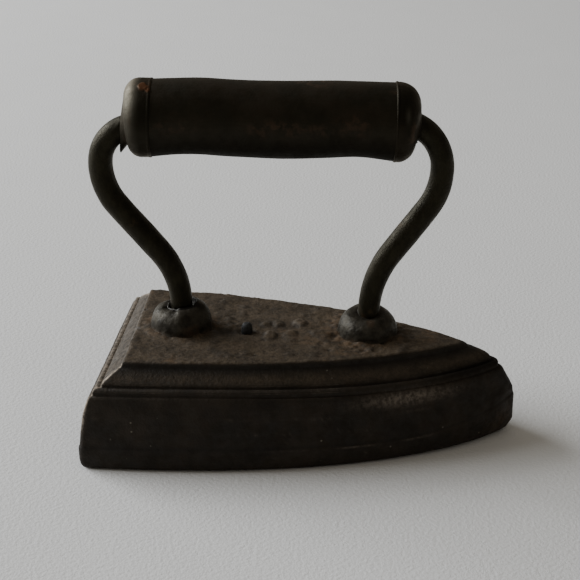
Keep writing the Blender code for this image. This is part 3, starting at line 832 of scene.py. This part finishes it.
def cap(name, outward, shape, scale, painted_highlights, lightened, seed):
    """A pressed cap, with its scale, painted highlights and painted shade below. Outward is 1 at the grip's
    front and -1 at its rear.
    """
    angle = outward * 2 * pi * np.arange(GRIP_SIDES) / GRIP_SIDES
    rings = cap_rings(angle, outward, seed, **shape)
    height = 0.12 * MM * noise(rings, 0.007, seed + 1) + 0.05 * MM * noise(rings, 0.0025, seed + 2)
    height += 0.02 * MM * noise(rings, 0.0011, seed + 3)
    crust = np.zeros(rings.shape[:2])
    for blister_x, blister_angle, size, rise in scale:
        distance = np.hypot(rings[..., 0] - blister_x, arc_from(blister_angle, angle))
        hill = step(distance + 0.0012 * noise(rings, 0.0022, seed + 4), size, size * 0.7)
        height += rise * hill * (0.85 + 0.2 * noise(rings, 0.0020, seed + 5))
        crust = np.maximum(crust, hill)
    # Painted highlight: a soft lighter streak laid into the colour.
    painted_highlight = np.zeros(rings.shape[:2])
    for highlight_x, highlight_angle, half_length, half_arc in painted_highlights:
        across = bump(arc_from(highlight_angle, angle), half_arc)
        painted_highlight = np.maximum(painted_highlight, bump(rings[..., 0] - highlight_x, half_length) * across)
    height[:RIM_FIXED_ROWS] = 0.0
    height[-NECK_FIXED_ROWS:] = 0.0
    rings = rings + normals_of(rings) * height[..., None]
    row = np.arange(len(rings))[:, None]
    # Wear and painted highlight: the cap's rounded end is lightened, mostly on its upper half, where it
    # faces the light.
    wear_and_highlight = lightened * bump(row - CAP_CORNER_MIDDLE, 6) * (1 - crust)
    wear_and_highlight = wear_and_highlight * (0.80 + 0.25 * noise(rings, 0.0035, seed + 7))
    wear_and_highlight = wear_and_highlight * (0.10 + 0.90 * step(np.cos(angle), 0.05, 0.95))
    fields = {
        "rust": step(noise(rings, 0.006, seed + 6), 0.3, 0.8),
        "crust": crust,
        "wear_and_highlight": np.clip(wear_and_highlight + 0.13 * painted_highlight, 0, 1),
        # Painted shade on the underside of the cap's face and neck.
        "painted_shade": step(row, CAP_CORNER_END, CAP_CORNER_END + 8) * underside(angle),
    }
    return lofted(name, from_handle(rings), fields)


# ---- Plug ----------------------------------------------------------------------------------------


def stud():
    """The small plug: a battered round head on a shank that goes into the plateau."""
    angle = -2 * pi * np.arange(PLUG_SIDES) / PLUG_SIDES
    section = list(PLUG_SHANK)
    for i in range(PLUG_HEAD_ROWS):
        turn = pi / 2 * i / PLUG_HEAD_ROWS
        section.append((PLUG_HEAD_RADIUS * cos(turn) ** 0.6, PLUG_HEAD_HEIGHT * sin(turn) ** 0.7))
    rings = [np.stack([r * np.cos(angle), r * np.sin(angle), 0 * angle + z], axis=1) for r, z in section]
    rings = np.array(rings) + (PLUG.x, PLUG.y, PLATEAU_Z + lift(PLUG.x))
    rings = rings + normals_of(rings) * (0.12 * MM * noise(rings, 0.0016, 91))[..., None]
    return lofted("stud", rings)


# ---- Materials -----------------------------------------------------------------------------------


class Finish:
    """A Principled material with short ways to add and join nodes."""

    def __init__(self, name, metallic, specular=0.5, tint=(1.0, 1.0, 1.0)):
        self.material = bpy.data.materials.new(name)
        self.material.use_nodes = True
        self.tree = self.material.node_tree
        self.shader = self.tree.nodes["Principled BSDF"]
        self.shader.inputs["Metallic"].default_value = metallic
        self.shader.inputs["Specular IOR Level"].default_value = specular
        self.shader.inputs["Specular Tint"].default_value = (*tint, 1.0)
        self.place = self.add("ShaderNodeTexCoord").outputs["Object"]

    def add(self, kind, **settings):
        made = self.tree.nodes.new(kind)
        for key, value in settings.items():
            setattr(made, key, value)
        return made

    def join(self, source, target):
        self.tree.links.new(source, target)

    def field(self, name):
        return self.add("ShaderNodeAttribute", attribute_name=name).outputs["Fac"]

    def stretched(self, scale):
        mapping = self.add("ShaderNodeMapping")
        mapping.inputs["Scale"].default_value = scale
        self.join(self.place, mapping.inputs["Vector"])
        return mapping.outputs["Vector"]

    def noise(self, size, detail=4.0, roughness=0.6, place=None):
        """Noise whose lumps are about this size, in metres."""
        made = self.add("ShaderNodeTexNoise")
        made.inputs["Scale"].default_value = 1 / size
        made.inputs["Detail"].default_value = detail
        made.inputs["Roughness"].default_value = roughness
        self.join(place or self.place, made.inputs["Vector"])
        return made.outputs["Fac"]

    def cells(self, size):
        made = self.add("ShaderNodeTexVoronoi", feature="F1")
        made.inputs["Scale"].default_value = 1 / size
        self.join(self.place, made.inputs["Vector"])
        return made.outputs["Distance"]

    def ranged(self, value, low, high, to_low=0.0, to_high=1.0):
        made = self.add("ShaderNodeMapRange", interpolation_type="SMOOTHSTEP")
        limits = {"From Min": low, "From Max": high, "To Min": to_low, "To Max": to_high}
        for socket, number in limits.items():
            made.inputs[socket].default_value = number
        self.join(value, made.inputs["Value"])
        return made.outputs["Result"]

    def math(self, operation, first, second):
        made = self.add("ShaderNodeMath", operation=operation, use_clamp=operation == "ADD")
        for socket, value in zip(made.inputs, (first, second)):
            if isinstance(value, float):
                socket.default_value = value
            else:
                self.join(value, socket)
        return made.outputs[0]

    def mixed(self, share, first, second):
        """A colour between the two, which are colours or sockets."""
        made = self.add("ShaderNodeMix", data_type="RGBA")
        self.join(share, made.inputs[0])
        for socket, value in ((made.inputs[6], first), (made.inputs[7], second)):
            if isinstance(value, tuple):
                socket.default_value = (*value, 1.0)
            else:
                self.join(value, socket)
        return made.outputs[2]

    def finish(self, colour, roughness, heights):
        """Sets the colour, the roughness and bumps from (height socket, depth in metres) pairs."""
        self.join(colour, self.shader.inputs["Base Color"])
        self.join(roughness, self.shader.inputs["Roughness"])
        normal = None
        for height, depth in heights:
            made = self.add("ShaderNodeBump")
            made.inputs["Strength"].default_value = 1.0
            made.inputs["Distance"].default_value = depth
            self.join(height, made.inputs["Height"])
            if normal:
                self.join(normal, made.inputs["Normal"])
            normal = made.outputs["Normal"]
        self.join(normal, self.shader.inputs["Normal"])
        return self.material


def cast_iron():
    """Dark brown cast iron: granular and dusty on top, grey where rubbed and where a highlight is painted,
    with painted shade and stains, and orange by the collars.
    """
    finish = Finish("rusty_cast_iron", metallic=0.0, specular=0.22)
    patches = finish.ranged(finish.noise(0.012), 0.35, 0.65)
    colour = finish.mixed(patches, (0.0125, 0.0094, 0.0060), (0.0225, 0.0165, 0.0105))
    grains = finish.ranged(finish.noise(0.0013, 3.0, 0.7), 0.36, 0.66)
    blotches = finish.ranged(finish.noise(0.010, 3.0), 0.38, 0.62, 0.0, 0.35)
    grains = finish.math("ADD", finish.math("MULTIPLY", grains, 0.55), blotches)
    top = finish.mixed(grains, (0.030, 0.0220, 0.0140), (0.094, 0.069, 0.0435))
    colour = finish.mixed(finish.field("top"), colour, top)
    rust_noise = finish.ranged(finish.noise(0.0028, 4.0, 0.7), 0.38, 0.62)
    rust = finish.math("MULTIPLY", finish.field("rust"), rust_noise)
    colour = finish.mixed(rust, colour, (0.125, 0.080, 0.045))
    patchy = finish.ranged(finish.noise(0.0018, 5.0, 0.7), 0.40, 0.62, 0.25, 1.0)
    # Wear and painted highlight: rubbed grey metal, also laid on the heel and its mitres as a highlight.
    lightened = finish.math("MULTIPLY", finish.field("wear_and_highlight"), patchy)
    colour = finish.mixed(lightened, colour, (0.345, 0.288, 0.228))
    finish.join(finish.math("MULTIPLY", lightened, 0.25), finish.shader.inputs["Metallic"])
    # Painted shade and stain: near-black in grooves, cove, ledge, the bead's end, round the lumps and in
    # the trough.
    colour = finish.mixed(finish.field("shade_and_stain"), colour, (0.010, 0.008, 0.006))
    specks = finish.ranged(finish.cells(0.0046), 0.095, 0.055)
    specks = finish.math("MULTIPLY", specks, finish.ranged(finish.noise(0.013), 0.48, 0.56))
    colour = finish.mixed(specks, colour, (0.125, 0.112, 0.088))
    roughness = finish.ranged(finish.noise(0.004), 0.3, 0.7, 0.50, 0.78)
    roughness = finish.math("ADD", roughness, finish.math("MULTIPLY", finish.field("matt"), 0.45))
    fine = finish.noise(0.0010, 4.0, 0.65)
    return finish.finish(colour, roughness, ((finish.noise(0.0030, 3.0), 0.00020), (fine, 0.00028)))


def wrought_iron():
    """Dark olive-brown iron, a little uneven, with rust in patches and near the collars."""
    finish = Finish("wrought_iron", metallic=0.15, specular=0.22, tint=(1.0, 0.90, 0.62))
    patches = finish.ranged(finish.noise(0.0038, 5.0, 0.7, finish.stretched((1.0, 1.0, 0.5))), 0.36, 0.64)
    colour = finish.mixed(patches, (0.0024, 0.0020, 0.0010), (0.0108, 0.0093, 0.0052))
    rust = finish.math("MULTIPLY", finish.field("rust"), finish.ranged(finish.noise(0.003), 0.45, 0.65))
    colour = finish.mixed(rust, colour, (0.034, 0.021, 0.011))
    roughness = finish.ranged(finish.noise(0.005), 0.3, 0.7, 0.32, 0.55)
    streaks = finish.noise(0.004, 3.0, 0.6, finish.stretched((1.0, 1.0, 0.25)))
    return finish.finish(colour, roughness, ((streaks, 0.00024), (finish.noise(0.0009, 4.0, 0.7), 0.00020)))


def poured_metal():
    """Smooth grey metal with brown stains, a rusty foot and painted shade in its bowl."""
    finish = Finish("poured_metal", metallic=0.4, specular=0.35, tint=(1.0, 0.99, 0.92))
    patches = finish.ranged(finish.noise(0.004), 0.35, 0.65)
    colour = finish.mixed(patches, (0.013, 0.0105, 0.0070), (0.044, 0.038, 0.028))
    rust = finish.math("MULTIPLY", finish.field("rust"), finish.ranged(finish.noise(0.0025), 0.36, 0.60))
    colour = finish.mixed(rust, colour, (0.060, 0.038, 0.023))
    # Painted shade inside the bowl.
    colour = finish.mixed(finish.field("shade_and_stain"), colour, (0.010, 0.008, 0.007))
    roughness = finish.ranged(finish.noise(0.004), 0.3, 0.7, 0.38, 0.60)
    lumps = finish.noise(0.0022, 3.0)
    return finish.finish(colour, roughness, ((lumps, 0.00024), (finish.noise(0.0007), 0.00012)))


def blackened_sheet(name, metallic):
    """Brown-black sheet steel: redder patches, drawn lines, rust spots, painted shade below, scale, and
    rubbed edges with painted highlights.
    """
    finish = Finish(name, metallic=metallic, specular=0.2, tint=(1.0, 0.90, 0.70))
    patches = finish.ranged(finish.noise(0.011), 0.35, 0.65)
    colour = finish.mixed(patches, (0.0068, 0.0058, 0.0032), (0.0135, 0.0102, 0.0064))
    rust = finish.math("MULTIPLY", finish.field("rust"), finish.ranged(finish.noise(0.0030), 0.42, 0.66))
    colour = finish.mixed(rust, colour, (0.034, 0.020, 0.012))
    # Painted shade on the undersides.
    colour = finish.mixed(finish.field("painted_shade"), colour, (0.0026, 0.0023, 0.0015))
    colour = finish.mixed(finish.field("crust"), colour, (0.080, 0.032, 0.014))
    # Wear and painted highlights, in a lighter grey-brown.
    colour = finish.mixed(finish.field("wear_and_highlight"), colour, (0.30, 0.28, 0.225))
    roughness = finish.ranged(finish.noise(0.004), 0.3, 0.7, 0.42, 0.62)
    roughness = finish.math("ADD", roughness, finish.math("MULTIPLY", finish.field("painted_shade"), 0.25))
    lines = finish.noise(0.0016, 2.0, 0.5, finish.stretched((0.12, 1.0, 1.0)))
    return finish.finish(colour, roughness, ((lines, 0.00010), (finish.noise(0.0008, 3.0), 0.00008)))


def plug_metal():
    """Dull blue-grey metal."""
    finish = Finish("plug_metal", metallic=0.3, specular=0.3)
    patches = finish.ranged(finish.noise(0.0012), 0.35, 0.65)
    colour = finish.mixed(patches, (0.022, 0.022, 0.023), (0.046, 0.048, 0.050))
    roughness = finish.ranged(finish.noise(0.001), 0.3, 0.7, 0.50, 0.70)
    return finish.finish(colour, roughness, ((finish.noise(0.0008), 0.00012),))


# ---- Stage ---------------------------------------------------------------------------------------


def floor():
    """A plain pale floor with a faint grain."""
    bpy.ops.mesh.primitive_plane_add(size=FLOOR_SIZE)
    made = bpy.context.object
    made.name = "floor"
    finish = Finish("floor", metallic=0.0, specular=0.2)
    colour = finish.mixed(finish.noise(0.05, 3.0), (0.760, 0.764, 0.766), (0.800, 0.804, 0.806))
    roughness = finish.ranged(finish.noise(0.02), 0.3, 0.7, 0.85, 0.95)
    made.data.materials.append(finish.finish(colour, roughness, ((finish.noise(0.0015, 2.0), 0.0003),)))


def lights():
    """One large soft window beyond the heel, and a dim warm room."""
    light = bpy.data.lights.new("window", "AREA")
    light.shape = "RECTANGLE"
    light.size, light.size_y = WINDOW_WIDTH, WINDOW_HEIGHT
    light.energy = WINDOW_POWER
    light.color = WINDOW_COLOUR
    window = bpy.data.objects.new("window", light)
    bpy.context.scene.collection.objects.link(window)
    window.location = WINDOW_PLACE
    window.rotation_euler = (WINDOW_TARGET - WINDOW_PLACE).to_track_quat("-Z", "Y").to_euler()
    world = bpy.data.worlds.new("room")
    bpy.context.scene.world = world
    world.use_nodes = True
    background = world.node_tree.nodes["Background"]
    background.inputs["Color"].default_value = ROOM_COLOUR
    background.inputs["Strength"].default_value = ROOM_STRENGTH


def camera():
    """The near side of the iron, seen from a little above and from towards the toe."""
    back = Vector((
        sin(VIEW_AZIMUTH) * cos(VIEW_ELEVATION),
        -cos(VIEW_AZIMUTH) * cos(VIEW_ELEVATION),
        sin(VIEW_ELEVATION),
    ))
    level = Vector((cos(VIEW_AZIMUTH), sin(VIEW_AZIMUTH), 0))
    upright = back.cross(level)
    right = cos(VIEW_ROLL) * level + sin(VIEW_ROLL) * upright
    up = -sin(VIEW_ROLL) * level + cos(VIEW_ROLL) * upright
    made = bpy.data.objects.new("camera", bpy.data.cameras.new("camera"))
    bpy.context.scene.collection.objects.link(made)
    made.data.lens = LENS
    made.matrix_world = Matrix((right, up, back)).transposed().to_4x4()
    made.location = VIEW_TARGET + VIEW_DISTANCE * back
    bpy.context.scene.camera = made


# ---- The iron ------------------------------------------------------------------------------------


def iron():
    """All the pieces, each in place of its CAD node."""
    place(cast_body(), "body_casting", "rusty_cast_iron", cast_iron())
    place(handle_rod(), "handle_rod", "wrought_iron", wrought_iron())
    poured = poured_metal()
    rear_collar = collar("rear_collar", REAR_FOOT, radians(20), REAR_LIP, REAR_BOWL, 41)
    front_collar = collar("front_collar", FRONT_FOOT, radians(85), FRONT_LIP, FRONT_BOWL, 51)
    place(rear_collar, "rear_foot_collar", "poured_metal", poured)
    place(front_collar, "front_foot_collar", "poured_metal", poured)
    place(grip_sleeve(), "grip_sleeve", "blackened_sheet", blackened_sheet("sleeve_sheet", 0.1))
    sheet = blackened_sheet("cap_sheet", 0.35)
    rear_cap = cap("rear_cap", -1, REAR_CAP, SCALE, (), 0.66, 71)
    front_cap = cap("front_cap", 1, FRONT_CAP, (), PAINTED_HIGHLIGHTS, 0.0, 81)
    place(rear_cap, "rear_grip_cap", "blackened_sheet", sheet)
    place(front_cap, "front_grip_cap", "blackened_sheet", sheet)
    place(stud(), "top_plug", "plug_metal", plug_metal())


camera()
iron()
floor()
lights()
